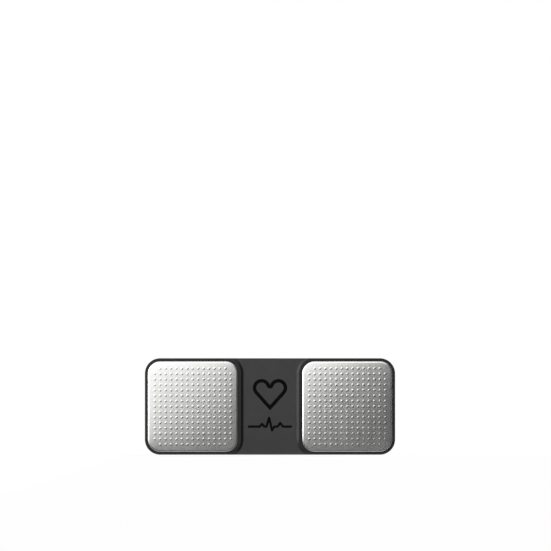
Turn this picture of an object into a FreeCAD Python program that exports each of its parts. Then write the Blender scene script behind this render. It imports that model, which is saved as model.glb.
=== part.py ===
"""A pocket single-lead heart monitor: a thin casing with two dimpled steel electrodes on its
front, a coin cell behind a hinged door in its back, and the board that reads the electrodes.

Everything is drawn lying on its back, in millimetres: u to the right, v up the face, and w from
the rear face (w = 0) to the front. to_row() then stands each piece on its long lower edge, with
the front facing -Y, +X to the right and +Z up.
"""

import FreeCAD
import Part
import math
import os

Vector = FreeCAD.Vector

# ---- Casing ---------------------------------------------------------------------------------
CASE_WIDTH = 82.0
CASE_HEIGHT = 31.6
CASE_CORNER_R = 5.0
CASE_EDGE_R = 0.15  # front and rear outer edges
PARTING_W = 1.2  # height of the joint line between the two halves
SEAM_HEIGHT = 0.12  # shadow gap at the joint line
SEAM_DEPTH = 0.25
SIDE_WALL = 1.0
REAR_WALL = 0.6
RECESS_WALL = 0.5  # front shell under each electrode
PANEL_WALL = 0.5  # front shell behind the centre panel
LIP_THICKNESS = 0.45  # tongue of the rear cover, inside the front shell's wall
LIP_HEIGHT = 0.8
LIP_CLEARANCE = 0.05
SEAM_BEAD = 0.12  # thickness of the adhesive bead on top of the lip

# ---- Electrodes -----------------------------------------------------------------------------
ELECTRODE_WIDTH = 29.6
ELECTRODE_MARGIN = 0.9  # outline of the casing to the electrode
ELECTRODE_SHEET = 0.25
ELECTRODE_PROUD = 0.35  # face above the rim round it
ELECTRODE_ROLL_R = 0.6  # outer radius of the rolled edge
ELECTRODE_GAP = 0.12  # all round, in its recess
EDGE_CLEARANCE = 0.03  # rolled edge to the recess floor
TAPE_THICKNESS = 0.3
TAPE_INSET = 1.0  # electrode's outline to the tape's edge

DIMPLE_PITCH = 1.78  # in a square pattern, without its four corners
DIMPLE_MARGIN = 2.2  # least distance from the electrode's outline to a dimple's middle
DIMPLE_DIAMETER = 0.8
DIMPLE_HEIGHT = 0.05

# ---- Centre panel and rims ------------------------------------------------------------------
RIM_WIDTH = 1.0  # flat rim on the panel side of each electrode
RIM_SLOPE = 0.8  # width of the slope from the rim down to the panel
RIM_EDGE_R = 0.15  # where the rim turns down into the slope
PANEL_RECESS = 0.45  # rim to panel

SYMBOL_DEPTH = 0.1
HEART_LOBE_R = 2.9
HEART_NOTCH = 0.92  # lobe centres up to the notch between the lobes
HEART_TIP = 7.4  # lobe centres down to the tip
HEART_STROKE = 1.15
HEART_V = 6.1  # height of the lobe centres on the panel
PULSE_STROKE = 0.75
PULSE_V = -6.6  # height of the trace's flat line on the panel
PULSE_WIDTH = 14.6
PULSE_PEAK = 2.9
PULSE_DIP = 1.2

# ---- Coin cell, 20 mm across and 1.6 mm thick -------------------------------------------------
CELL_DIAMETER = 20.0
CELL_THICKNESS = 1.6
CELL_CAP_STEP = 0.2  # edge of the can to the face of the cap
CELL_CRIMP = 1.1  # side of the can to the side of the cap
CELL_SHEET = 0.2
CELL_GASKET_GAP = 0.02
CELL_EDGE_R = 0.25
CELL_PLUS_SIZE = 5.0
CELL_PLUS_STROKE = 0.9
CELL_PLUS_DEPTH = 0.05

# ---- Battery door and its well --------------------------------------------------------------
DOOR_THICKNESS = 0.55
DOOR_MARGIN = 3.6  # long edge of the casing to the door
DOOR_PAST_CELL = 2.1  # cell to the door's free edge
DOOR_CORNER_R = 3.0
DOOR_EDGE_R = 0.12  # its outer edge, and the edge of the pocket beside it
DOOR_GAP = 0.15
DOOR_SEAT_GAP = 0.05
DOOR_TO_CELL = 0.1

HINGE_FROM_END = 3.6  # end of the casing to the hinge axis
HINGE_TO_CELL = 2.4  # hinge axis to the nearest point of the cell
BARREL_R = 0.65  # its outside is level with the door's outer face
BARREL_CLEARANCE = 0.1
BARREL_RELIEF = 0.1  # extra room beside the barrel, where the open door's outer face stands
HINGE_PIN_R = 0.3
HINGE_PIN_LENGTH = 0.9
HINGE_PIN_CLEARANCE = 0.05
HINGE_PIN_END_GAP = 0.1
HINGE_HOUSING_WALL = 0.6

WELL_CLEARANCE = 0.15
WELL_WALL = 0.8
WELL_TO_FRONT = 0.1  # top of the well wall to the front shell
FRAME_MARGIN = 1.2  # frame beside the door pocket
FRAME_END_MARGIN = 2.0  # frame past the door's free edge
FRAME_TO_BOARD = 0.15

TAB_WIDTH = 4.0  # spring tab that holds the door shut
TAB_THICKNESS = 0.5
TAB_LENGTH = 0.4
TAB_INSET = 0.55  # door's free edge to the bead on the tab
TAB_BEAD_R = 0.12
TAB_RUB_GAP = 0.02  # bead to the wall it rubs on
TAB_CLEARANCE = 0.08

NAIL_SCOOP_R = 3.0
NAIL_SCOOP_DEPTH = 0.62

# ---- Board and what is on it ----------------------------------------------------------------
BOARD_THICKNESS = 0.6
BOARD_STANDOFF = 0.75  # rear wall to the board
BOARD_GAP = 0.35  # to the casing's inner wall
BOARD_TO_WELL = 0.35
BOARD_ARM = 6.7  # how far the board reaches past the rim of the well, above and below it

POST_R = 0.8
POST_CLEARANCE = 0.1
POST_SHOULDER_R = 1.5
POST_HEAD_R = 1.3
POST_HEAD_HEIGHT = 0.3
POST_FROM_END = 5.0
POST_FROM_EDGE = 4.2
POST_FROM_FRAME = 2.35  # end of the door's frame to the posts beside it, at the least
POST_FROM_ELECTRODE = 2.1  # the same, from the left electrode's inner edge

CONTROLLER_SIZE = 5.0
AMPLIFIER_SIZE = 4.0
CHIP_THICKNESS = 0.6
CHIP_EDGE = 0.12
CRYSTAL_LENGTH = 3.2
CRYSTAL_WIDTH = 1.5
CRYSTAL_THICKNESS = 0.5
INDUCTOR_SIZE = 3.0
INDUCTOR_THICKNESS = 0.62
SMALL_CHIP_LENGTH = 1.0
SMALL_CHIP_WIDTH = 0.5
SMALL_CHIP_THICKNESS = 0.45
SMALL_CHIP_PITCH = 1.3
DIODE_LENGTH = 1.6
DIODE_WIDTH = 0.9
DIODE_THICKNESS = 0.5

# places on the board: along it from the end of the door's frame, and up from the middle
CONTROLLER_PLACE = (16.75, 4.0)
AMPLIFIER_PLACE = (7.25, -3.0)
CRYSTAL_PLACE = (16.75, 9.2)
INDUCTOR_PLACE = (23.55, -8.6)
CAPACITOR_ROWS = ((2.35, 1.6), (21.55, 7.0), (11.15, -9.4))
RESISTOR_ROWS = ((2.35, 4.0), (21.55, 2.4), (11.15, -11.4))
ROW_COUNT = 5
DIODE_PLACES = ((1.75, -5.6), (27.35, -11.6))

# ---- Contacts and sounder -------------------------------------------------------------------
LEAF = 0.15  # thickness of the contact strips
TOUCH_GAP = 0.02  # between a spring and what it presses on, drawn just clear
CONTACT_TO_SHELL = 0.03

SPRING_FROM_EDGE = 2.7  # electrode's inner edge to the middle of its spring
SPRING_FROM_LOWER = 5.3  # electrode's lower edge to the middle of its spring
SPRING_LENGTH = 3.0
SPRING_TOP_INSET = 0.3  # end of the spring's foot to the part that touches the electrode
SPRING_TOP = 0.9  # length of that part
SPRING_WIDTH = 1.6
WINDOW_LENGTH = 4.6
WINDOW_WIDTH = 2.6
WINDOW_CORNER_R = 0.6

NEGATIVE_WIDTH = 4.0
NEGATIVE_FOOT = 2.2
POSITIVE_FROM_DEG = 24.0
POSITIVE_TO_DEG = 50.0
POSITIVE_FOOT_HALF_DEG = 7.0
POSITIVE_FOOT = 1.8
SLOT_EXTRA_DEG = 4.0  # room in the well wall, each side of the blade
SLOT_GAP = 0.3

SOUNDER_R = 6.0
SOUNDER_THICKNESS = 0.15
CERAMIC_R = 4.4
CERAMIC_THICKNESS = 0.15
SOUNDER_SPRING_LENGTH = 2.6
SOUNDER_SPRING_FOOT = 1.0
SOUNDER_SPRING_TIP = 0.6
SOUNDER_SPRING_WIDTH = 1.0

# ---- Worked out from the above --------------------------------------------------------------
# from the rear face forwards: door, cell, negative contact, shell, tape, electrode
CELL_W = DOOR_THICKNESS + DOOR_TO_CELL
CELL_TOP_W = CELL_W + CELL_THICKNESS
CEILING_W = CELL_TOP_W + TOUCH_GAP + LEAF + CONTACT_TO_SHELL
FLOOR_W = CEILING_W + RECESS_WALL  # floor of the electrode's recess
SHEET_W = FLOOR_W + TAPE_THICKNESS  # back of the electrode sheet
FACE_W = SHEET_W + ELECTRODE_SHEET
CASE_DEPTH = FACE_W - ELECTRODE_PROUD  # rear face to the rims round the electrodes
TOTAL_DEPTH = FACE_W + DIMPLE_HEIGHT
PANEL_W = CASE_DEPTH - PANEL_RECESS
PANEL_CEILING_W = PANEL_W - PANEL_WALL
BOARD_W = REAR_WALL + BOARD_STANDOFF
BOARD_TOP_W = BOARD_W + BOARD_THICKNESS
FRAME_TOP_W = BOARD_W - FRAME_TO_BOARD
WELL_TOP_W = CEILING_W - WELL_TO_FRONT

# along the casing
ELECTRODE_HEIGHT = CASE_HEIGHT - 2 * ELECTRODE_MARGIN
ELECTRODE_CORNER_R = CASE_CORNER_R - ELECTRODE_MARGIN
ELECTRODE_U = CASE_WIDTH / 2 - ELECTRODE_MARGIN - ELECTRODE_WIDTH / 2
HINGE_U = HINGE_FROM_END - CASE_WIDTH / 2
HINGE_W = BARREL_R
CELL_U = HINGE_U + HINGE_TO_CELL + CELL_DIAMETER / 2
CELL_AT = (CELL_U, 0.0)
WELL_R = CELL_DIAMETER / 2 + WELL_CLEARANCE
WELL_OUTER_R = WELL_R + WELL_WALL
BITE_R = WELL_OUTER_R + BOARD_TO_WELL
DOOR_EDGE_U = CELL_U + CELL_DIAMETER / 2 + DOOR_PAST_CELL
DOOR_HALF = CASE_HEIGHT / 2 - DOOR_MARGIN
POCKET_HALF = DOOR_HALF + DOOR_GAP
FRAME_END_U = DOOR_EDGE_U + DOOR_GAP + FRAME_END_MARGIN
SPRING_U = ELECTRODE_U - ELECTRODE_WIDTH / 2 + SPRING_FROM_EDGE
SPRING_V = SPRING_FROM_LOWER - ELECTRODE_HEIGHT / 2
SOUNDER_U = ELECTRODE_U


def arc_wire(points):
    """A closed wire: each item is an end point, or (middle point, end point) for an arc."""
    edges = []
    start = points[-1][-1] if isinstance(points[-1], tuple) else points[-1]
    for item in points:
        if isinstance(item, tuple):
            edges.append(Part.Arc(start, item[0], item[1]).toShape())
            start = item[1]
        else:
            edges.append(Part.LineSegment(start, item).toShape())
            start = item
    return Part.Wire(edges)


def rounded_wire(width, height, radius, w, at=(0.0, 0.0)):
    """A rectangle with round corners, in the plane at height w."""
    cu, cv = at
    hu, hv = width / 2, height / 2
    k = radius * (1 - math.sqrt(0.5))
    corners = ((1, -1), (1, 1), (-1, 1), (-1, -1))
    items = []
    for index, (su, sv) in enumerate(corners):
        across = Vector(cu + su * (hu - radius), cv + sv * hv, w)
        along = Vector(cu + su * hu, cv + sv * (hv - radius), w)
        middle = Vector(cu + su * (hu - k), cv + sv * (hv - k), w)
        first, last = (across, along) if index % 2 == 0 else (along, across)
        items += [first, (middle, last)]
    return arc_wire(items)


def rounded_prism(width, height, radius, low, high, at=(0.0, 0.0)):
    face = Part.Face(rounded_wire(width, height, radius, low, at))
    return face.extrude(Vector(0, 0, high - low))


def block(u0, u1, v0, v1, w0, w1):
    return Part.makeBox(u1 - u0, v1 - v0, w1 - w0, Vector(u0, v0, w0))


def block_at(centre, length, width, w0, w1):
    cu, cv = centre
    return block(cu - length / 2, cu + length / 2, cv - width / 2, cv + width / 2, w0, w1)


def disc(radius, low, high, at=(0.0, 0.0)):
    return Part.makeCylinder(radius, high - low, Vector(at[0], at[1], low))


def ring(inner, outer, low, high, at=(0.0, 0.0)):
    return disc(outer, low, high, at).cut(disc(inner, low, high, at))


def ring_sector(inner, outer, low, high, from_deg, to_deg, at):
    """The part of a ring between two angles, counted from +u."""
    pie = Part.makeCylinder(outer, high - low, Vector(at[0], at[1], low), Vector(0, 0, 1), to_deg - from_deg)
    pie.rotate(Vector(at[0], at[1], 0), Vector(0, 0, 1), from_deg)
    return pie.cut(disc(inner, low, high, at))


def rod_v(radius, v0, v1, u, w):
    """A cylinder along v."""
    return Part.makeCylinder(radius, v1 - v0, Vector(u, v0, w), Vector(0, 1, 0))


def fuse_all(shapes):
    return shapes[0].multiFuse(shapes[1:]).removeSplitter() if len(shapes) > 1 else shapes[0]


def edges_at(shape, w, slack=1e-4):
    """The edges that lie wholly in the plane at height w."""
    return [e for e in shape.Edges if abs(e.BoundBox.ZMin - w) < slack and abs(e.BoundBox.ZMax - w) < slack]


def case_prism(low, high, inset=0.0):
    """The casing's outline, taken in by inset."""
    radius = CASE_CORNER_R - inset
    return rounded_prism(CASE_WIDTH - 2 * inset, CASE_HEIGHT - 2 * inset, radius, low, high)


def leaf_strip(path, width, v):
    """A bent strip of sheet: path is one face as (u, w) points, with the metal on its left."""
    lines = []
    for (u0, w0), (u1, w1) in zip(path, path[1:]):
        length = math.hypot(u1 - u0, w1 - w0)
        lines.append(((w0 - w1) / length, (u1 - u0) / length))
    other = []
    for index, (u, w) in enumerate(path):
        before = lines[max(index - 1, 0)]
        after = lines[min(index, len(lines) - 1)]
        scale = LEAF / (1 + before[0] * after[0] + before[1] * after[1])
        other.append((u + scale * (before[0] + after[0]), w + scale * (before[1] + after[1])))
    outline = path + other[::-1]
    points = [Vector(u, v - width / 2, w) for u, w in outline]
    face = Part.Face(Part.makePolygon(points + points[:1]))
    return face.extrude(Vector(0, width, 0))


# ---- Casing ---------------------------------------------------------------------------------
def platform(side):
    """The raised seat of one electrode, with a slope down to the panel on its inner side."""
    rim_u = ELECTRODE_WIDTH + 2 * RIM_WIDTH
    rim_v = ELECTRODE_HEIGHT + 2 * RIM_WIDTH
    rim_r = ELECTRODE_CORNER_R + RIM_WIDTH
    at = (side * ELECTRODE_U, 0.0)
    foot = rounded_wire(rim_u + 2 * RIM_SLOPE, rim_v + 2 * RIM_SLOPE, rim_r + RIM_SLOPE, PANEL_W, at)
    rim = rounded_wire(rim_u, rim_v, rim_r, CASE_DEPTH, at)
    slope = Part.makeLoft([foot, rim], True, True)
    slope = slope.makeFillet(RIM_EDGE_R, edges_at(slope, CASE_DEPTH))
    base = Part.Face(foot).extrude(Vector(0, 0, PARTING_W - PANEL_W))
    outline = case_prism(PARTING_W, CASE_DEPTH)
    outline = outline.makeFillet(CASE_EDGE_R, edges_at(outline, CASE_DEPTH))
    return slope.fuse(base).common(outline)


def spring_window(side, low, high):
    """The hole that an electrode's spring comes through."""
    at = (side * SPRING_U, SPRING_V)
    return rounded_prism(WINDOW_LENGTH, WINDOW_WIDTH, WINDOW_CORNER_R, low, high, at)


def post_places():
    beside_frame = FRAME_END_U + POST_FROM_FRAME
    beside_electrode = ELECTRODE_WIDTH / 2 - ELECTRODE_U + POST_FROM_ELECTRODE
    across = (max(beside_frame, beside_electrode), CASE_WIDTH / 2 - POST_FROM_END)
    up = CASE_HEIGHT / 2 - POST_FROM_EDGE
    return [(u, v) for u in across for v in (-up, up)]


def post(at):
    """A heat-staked post: shoulder, shank through the board, and the melted head behind it."""
    head_w = BOARD_W - POST_HEAD_HEIGHT
    top = PANEL_CEILING_W if abs(at[0]) < ELECTRODE_U - ELECTRODE_WIDTH / 2 else CEILING_W
    shoulder = disc(POST_SHOULDER_R, BOARD_TOP_W, top, at)
    shank = disc(POST_R, head_w, top, at)
    head = Part.makeCone(POST_R, POST_HEAD_R, POST_HEAD_HEIGHT, Vector(at[0], at[1], head_w))
    return fuse_all([shoulder, shank, head])


def heart_wire(w):
    """A heart of two round lobes, with a straight side from each down to the tip."""
    lobe_u = math.sqrt(HEART_LOBE_R**2 - HEART_NOTCH**2)
    reach = math.hypot(lobe_u, HEART_TIP)
    side = math.sqrt(reach**2 - HEART_LOBE_R**2)
    slope = math.atan2(HEART_TIP, lobe_u) - math.asin(HEART_LOBE_R / reach)
    tip = (0.0, -HEART_TIP)
    touch = (side * math.cos(slope), side * math.sin(slope) - HEART_TIP)
    crown = (lobe_u + HEART_LOBE_R / 2, HEART_LOBE_R * math.sqrt(0.75))
    notch = (0.0, HEART_NOTCH)
    right = [Vector(u, HEART_V + v, w) for u, v in (tip, touch, crown, notch)]
    left = [Vector(-p.x, p.y, w) for p in right]
    return arc_wire([right[1], (right[2], right[3]), (left[2], left[1]), left[0]])


def heart(low, high):
    outer = Part.Face(heart_wire(low))
    inner = Part.Face(heart_wire(low).makeOffset2D(-HEART_STROKE))
    return outer.cut(inner).extrude(Vector(0, 0, high - low))


def pulse_points():
    """One heartbeat: a flat line, a small wave, the spike, its dip, and a round wave after it."""
    half = PULSE_WIDTH / 2 - PULSE_STROKE / 2
    step = PULSE_WIDTH / 20
    return (
        (-half, 0.0),
        (-4.6 * step, 0.0),
        (-3.6 * step, PULSE_PEAK * 0.3),
        (-2.6 * step, 0.0),
        (-1.6 * step, 0.0),
        (-0.4 * step, PULSE_PEAK),
        (0.9 * step, -PULSE_DIP),
        (1.9 * step, 0.0),
        (3.4 * step, 0.0),
        (4.6 * step, PULSE_PEAK * 0.42),
        (5.8 * step, 0.0),
        (half, 0.0),
    )


def stroke(points, width, low, high):
    """A line of the given width with round joins and ends."""
    pieces = [disc(width / 2, low, high, p) for p in points]
    for (u0, v0), (u1, v1) in zip(points, points[1:]):
        length = math.hypot(u1 - u0, v1 - v0)
        bar = block(0, length, -width / 2, width / 2, low, high)
        bar.rotate(Vector(0, 0, 0), Vector(0, 0, 1), math.degrees(math.atan2(v1 - v0, u1 - u0)))
        bar.translate(Vector(u0, v0, 0))
        pieces.append(bar)
    return fuse_all(pieces)


def front_symbol():
    """A plain heart outline over the trace of one heartbeat."""
    points = [(u, PULSE_V + v) for u, v in pulse_points()]
    low = PANEL_W - SYMBOL_DEPTH
    return Part.makeCompound([heart(low, PANEL_W), stroke(points, PULSE_STROKE, low, PANEL_W)])


def electrode_recess(side):
    """The seat of one electrode, and the room behind the floor of that seat."""
    at = (side * ELECTRODE_U, 0.0)
    gap = 2 * ELECTRODE_GAP
    corner = ELECTRODE_CORNER_R + ELECTRODE_GAP
    seat = rounded_prism(ELECTRODE_WIDTH + gap, ELECTRODE_HEIGHT + gap, corner, FLOOR_W, FACE_W, at)
    inset = SIDE_WALL - ELECTRODE_MARGIN
    wide = ELECTRODE_WIDTH - 2 * inset
    high = CASE_HEIGHT - 2 * SIDE_WALL
    behind = rounded_prism(wide, high, ELECTRODE_CORNER_R - inset, PARTING_W, CEILING_W, at)
    return [seat, behind, spring_window(side, CEILING_W, FLOOR_W)]


def front_shell():
    panel = case_prism(PARTING_W, PANEL_W)
    panel = panel.makeFillet(CASE_EDGE_R, edges_at(panel, PANEL_W))
    shell = fuse_all([panel, platform(-1), platform(1)])
    rebate = SIDE_WALL - LIP_THICKNESS - LIP_CLEARANCE
    rooms = [
        case_prism(PARTING_W, PANEL_CEILING_W, SIDE_WALL),
        case_prism(PARTING_W, PARTING_W + LIP_HEIGHT + SEAM_BEAD, rebate),
    ]
    rooms += electrode_recess(-1) + electrode_recess(1)
    shell = shell.cut(fuse_all(rooms))
    shell = fuse_all([shell] + [post(at) for at in post_places()])
    return shell.cut(front_symbol())


def door_pocket():
    """The room for the closed door, and for its barrel and pins over their whole turn."""
    edge = DOOR_EDGE_U + DOOR_GAP
    depth = DOOR_THICKNESS + DOOR_SEAT_GAP
    corner = DOOR_CORNER_R + DOOR_GAP
    pocket = rounded_prism(2 * (edge - HINGE_U), 2 * POCKET_HALF, corner, 0.0, depth, (HINGE_U, 0.0))
    pocket = pocket.common(block(HINGE_U, edge, -POCKET_HALF, POCKET_HALF, 0.0, depth))
    reach = BARREL_R + BARREL_CLEARANCE
    barrel = rod_v(reach, -POCKET_HALF, POCKET_HALF, HINGE_U, HINGE_W)
    mouth_u = HINGE_U - reach - BARREL_RELIEF
    mouth = block(mouth_u, HINGE_U + reach, -POCKET_HALF, POCKET_HALF, 0.0, HINGE_W)
    pin_half = DOOR_HALF + HINGE_PIN_LENGTH + HINGE_PIN_END_GAP
    pins = rod_v(HINGE_PIN_R + HINGE_PIN_CLEARANCE, -pin_half, pin_half, HINGE_U, HINGE_W)
    return fuse_all([pocket, barrel, mouth, pins])


def tab_slot():
    """The slot for the door's spring tab, whose bead rubs on the wall nearest the free edge."""
    wall_u = DOOR_EDGE_U - TAB_INSET + TAB_RUB_GAP
    back_u = DOOR_EDGE_U - TAB_INSET - TAB_BEAD_R - TAB_THICKNESS - TAB_CLEARANCE
    half = TAB_WIDTH / 2 + TAB_CLEARANCE
    return block(back_u, wall_u, -half, half, 0.0, DOOR_THICKNESS + TAB_LENGTH + TAB_CLEARANCE)


def nail_scoop():
    """A round scoop beside the door's free edge, deep enough to get a fingernail under it."""
    edge = DOOR_EDGE_U + DOOR_GAP
    ball = Part.makeSphere(NAIL_SCOOP_R, Vector(edge, 0, NAIL_SCOOP_DEPTH - NAIL_SCOOP_R))
    room = block(DOOR_EDGE_U, edge + NAIL_SCOOP_R, -NAIL_SCOOP_R, NAIL_SCOOP_R, 0.0, NAIL_SCOOP_DEPTH)
    return ball.common(room)


def hinge_housing():
    """The thicker wall round the barrel and pins."""
    room = BARREL_R + BARREL_CLEARANCE
    u0 = HINGE_U - room - BARREL_RELIEF - HINGE_HOUSING_WALL
    u1 = HINGE_U + room + HINGE_HOUSING_WALL
    half = POCKET_HALF + FRAME_MARGIN
    return block(u0, u1, -half, half, 0.0, HINGE_W + room + HINGE_HOUSING_WALL / 2)


def door_frame():
    """The thicker rear wall that the closed door lies in."""
    half = POCKET_HALF + FRAME_MARGIN
    return block(HINGE_U, FRAME_END_U, -half, half, 0.0, FRAME_TOP_W)


def cover_pan():
    """The rear wall, the low side wall with its shadow gap, and the lip inside that wall."""
    pan = case_prism(0.0, PARTING_W)
    pan = pan.makeFillet(CASE_EDGE_R, edges_at(pan, 0.0))
    pan = pan.cut(case_prism(REAR_WALL, PARTING_W, SIDE_WALL))
    gap_w = PARTING_W - SEAM_HEIGHT
    pan = pan.cut(case_prism(gap_w, PARTING_W).cut(case_prism(gap_w, PARTING_W, SEAM_DEPTH)))
    top = PARTING_W + LIP_HEIGHT
    lip = case_prism(REAR_WALL, top, SIDE_WALL - LIP_THICKNESS).cut(case_prism(REAR_WALL, top, SIDE_WALL))
    return pan.fuse(lip)


def rear_cover():
    inside = case_prism(0.0, PARTING_W + LIP_HEIGHT, SIDE_WALL / 2 + LIP_THICKNESS / 2)
    frame = fuse_all([hinge_housing(), door_frame()]).common(inside)
    cover = fuse_all([cover_pan(), frame, disc(WELL_OUTER_R, 0.0, WELL_TOP_W, CELL_AT)])
    well = disc(WELL_R, 0.0, WELL_TOP_W, CELL_AT)
    for room in (door_pocket(), tab_slot(), nail_scoop(), well, contact_slots()):
        cover = cover.cut(room)
    return cover.removeSplitter()


def contact_slots():
    """The gaps in the well's wall that the two battery contacts come through."""
    inner = WELL_R - WELL_CLEARANCE
    low = POSITIVE_FROM_DEG - SLOT_EXTRA_DEG
    high = POSITIVE_TO_DEG + SLOT_EXTRA_DEG
    blade = ring_sector(inner, WELL_OUTER_R, FRAME_TOP_W, WELL_TOP_W, low, high, CELL_AT)
    half = NEGATIVE_WIDTH / 2 + SLOT_GAP
    arm = block(CELL_U + inner / 2, CELL_U + WELL_OUTER_R, -half, half, BOARD_TOP_W - SLOT_GAP, WELL_TOP_W)
    return blade.fuse(arm)


def seam_adhesive():
    low = PARTING_W + LIP_HEIGHT
    outer = case_prism(low, low + SEAM_BEAD, SIDE_WALL - LIP_THICKNESS)
    return outer.cut(case_prism(low, low + SEAM_BEAD, SIDE_WALL))


# ---- Electrodes -----------------------------------------------------------------------------
def dimple_places():
    """The square pattern without its four corners, about the electrode's middle."""
    columns = int((ELECTRODE_WIDTH - 2 * DIMPLE_MARGIN) / DIMPLE_PITCH)
    rows = int((ELECTRODE_HEIGHT - 2 * DIMPLE_MARGIN) / DIMPLE_PITCH)
    places = []
    for row in range(rows + 1):
        for column in range(columns + 1):
            if row in (0, rows) and column in (0, columns):
                continue
            places.append(((column - columns / 2) * DIMPLE_PITCH, (row - rows / 2) * DIMPLE_PITCH))
    return places


def dimple(at):
    """One raised dome: a segment of a ball, standing on the electrode's face."""
    base = DIMPLE_DIAMETER / 2
    ball = (base**2 + DIMPLE_HEIGHT**2) / (2 * DIMPLE_HEIGHT)
    rise = math.asin(base / ball)
    middle = Vector(ball * math.sin(rise / 2), 0, FACE_W + DIMPLE_HEIGHT - ball + ball * math.cos(rise / 2))
    top = Vector(0, 0, FACE_W + DIMPLE_HEIGHT)
    rim = Vector(base, 0, FACE_W)
    foot = Vector(0, 0, FACE_W)
    half = Part.Face(arc_wire([rim, (middle, top), foot]))
    dome = half.revolve(Vector(0, 0, 0), Vector(0, 0, 1), 360)
    dome.translate(Vector(at[0], at[1], 0))
    return dome


def rolled_slab(inset, top):
    """A rounded slab with a quarter-round upper edge, concentric with the electrode's own."""
    low = FLOOR_W + EDGE_CLEARANCE
    centre_w = FACE_W - ELECTRODE_ROLL_R
    foot = math.sqrt(ELECTRODE_ROLL_R**2 - (low - centre_w) ** 2)
    grow = ELECTRODE_ROLL_R - foot - inset
    width = ELECTRODE_WIDTH + 2 * grow
    height = ELECTRODE_HEIGHT + 2 * grow
    slab = rounded_prism(width, height, ELECTRODE_CORNER_R + grow, 0.0, top)
    slab = slab.makeFillet(ELECTRODE_ROLL_R - inset, edges_at(slab, top))
    return slab.common(block(-width, width, -height, height, low, top))


def electrode(side):
    """A shallow cap of sheet steel with a rolled edge and a square pattern of raised domes."""
    cap = rolled_slab(0.0, FACE_W).cut(rolled_slab(ELECTRODE_SHEET, SHEET_W))
    cap = cap.multiFuse([dimple(at) for at in dimple_places()])
    cap.translate(Vector(side * ELECTRODE_U, 0, 0))
    return cap


def electrode_tape(side):
    """The adhesive pad under the flat of the electrode."""
    at = (side * ELECTRODE_U, 0.0)
    width = ELECTRODE_WIDTH - 2 * TAPE_INSET
    height = ELECTRODE_HEIGHT - 2 * TAPE_INSET
    corner = ELECTRODE_CORNER_R - TAPE_INSET
    tape = rounded_prism(width, height, corner, FLOOR_W, SHEET_W, at)
    return tape.cut(spring_window(side, FLOOR_W, SHEET_W))


def electrode_spring(side):
    """A folded leaf from the board, through its window, to the back of the electrode."""
    low = SPRING_U - SPRING_LENGTH / 2
    top = SHEET_W - TOUCH_GAP
    path = [
        (low, BOARD_TOP_W),
        (low + SPRING_LENGTH, BOARD_TOP_W),
        (low + SPRING_TOP_INSET + SPRING_TOP, top),
        (low + SPRING_TOP_INSET, top),
    ]
    leaf = leaf_strip(path, SPRING_WIDTH, SPRING_V)
    return leaf if side > 0 else leaf.mirror(Vector(0, 0, 0), Vector(1, 0, 0))


# ---- Battery door ---------------------------------------------------------------------------
def battery_door():
    width = 2 * (DOOR_EDGE_U - HINGE_U)
    plate = rounded_prism(width, 2 * DOOR_HALF, DOOR_CORNER_R, 0.0, DOOR_THICKNESS, (HINGE_U, 0.0))
    plate = plate.makeFillet(DOOR_EDGE_R, edges_at(plate, 0.0))
    plate = plate.common(block(HINGE_U, DOOR_EDGE_U, -DOOR_HALF, DOOR_HALF, 0.0, DOOR_THICKNESS))
    barrel = rod_v(BARREL_R, -DOOR_HALF, DOOR_HALF, HINGE_U, HINGE_W)
    pin_half = DOOR_HALF + HINGE_PIN_LENGTH
    pins = rod_v(HINGE_PIN_R, -pin_half, pin_half, HINGE_U, HINGE_W)
    face_u = DOOR_EDGE_U - TAB_INSET - TAB_BEAD_R
    wide = TAB_WIDTH / 2
    top = DOOR_THICKNESS + TAB_LENGTH
    tab = block(face_u - TAB_THICKNESS, face_u, -wide, wide, 0.0, top)
    bead = rod_v(TAB_BEAD_R, -wide, wide, face_u, top - TAB_BEAD_R)
    return fuse_all([plate, barrel, pins, tab, bead])


# ---- Coin cell ------------------------------------------------------------------------------
def cell_can():
    """The positive cup: its flat face, with a plus sign pressed in, is towards the door."""
    radius = CELL_DIAMETER / 2
    top = CELL_TOP_W - CELL_CAP_STEP
    cup = disc(radius, CELL_W, top, CELL_AT)
    cup = cup.makeFillet(CELL_EDGE_R, edges_at(cup, CELL_W))
    cup = cup.cut(disc(radius - CELL_SHEET, CELL_W + CELL_SHEET, top, CELL_AT))
    bars = ((CELL_PLUS_SIZE, CELL_PLUS_STROKE), (CELL_PLUS_STROKE, CELL_PLUS_SIZE))
    plus = [block_at(CELL_AT, u, v, CELL_W, CELL_W + CELL_PLUS_DEPTH) for u, v in bars]
    return cup.cut(fuse_all(plus))


def cell_cap():
    """The negative cup, upside down in the can."""
    radius = CELL_DIAMETER / 2 - CELL_CRIMP
    low = CELL_W + CELL_SHEET * 2
    cap = disc(radius, low, CELL_TOP_W, CELL_AT)
    cap = cap.makeFillet(CELL_EDGE_R, edges_at(cap, CELL_TOP_W))
    return cap.cut(disc(radius - CELL_SHEET, low, CELL_TOP_W - CELL_SHEET, CELL_AT))


def cell_gasket():
    inner = CELL_DIAMETER / 2 - CELL_CRIMP + CELL_GASKET_GAP
    outer = CELL_DIAMETER / 2 - CELL_SHEET - CELL_GASKET_GAP
    return ring(inner, outer, CELL_W + CELL_SHEET, CELL_TOP_W - CELL_CAP_STEP, CELL_AT)


def cell_stack():
    """The pellet, separator and lithium disc, as one filling."""
    radius = CELL_DIAMETER / 2 - CELL_CRIMP - CELL_SHEET - CELL_GASKET_GAP
    return disc(radius, CELL_W + CELL_SHEET, CELL_TOP_W - CELL_SHEET, CELL_AT)


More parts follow.
